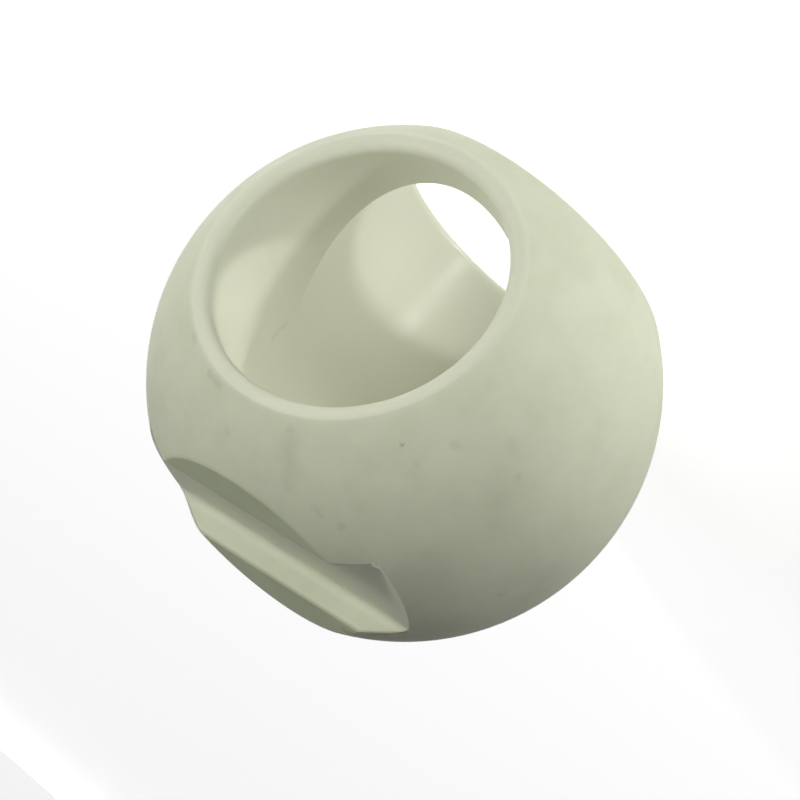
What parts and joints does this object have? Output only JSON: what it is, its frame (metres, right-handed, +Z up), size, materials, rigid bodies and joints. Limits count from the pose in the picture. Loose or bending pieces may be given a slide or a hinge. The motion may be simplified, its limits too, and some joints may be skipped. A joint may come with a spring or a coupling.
{
  "type": "three-way valve ball",
  "caption": "Plastic ball for a three-way valve: an elbow passage joins a side port to a bottom port, and an open slot across a flat on top takes the stem.",
  "frame": {"origin": "centre of the ball, on the stem axis", "axes": "+Z up the stem axis to the slot, +X out of the side port, the bottom port opens at -Z"},
  "size_m": [0.0751, 0.085, 0.0696],
  "materials": {
    "ball_plastic": "natural greenish white plastic, matt outside and a little smoother in the bores"
  },
  "bodies": {
    "root": {"ball": "ball_plastic"}
  },
  "joints": []
}
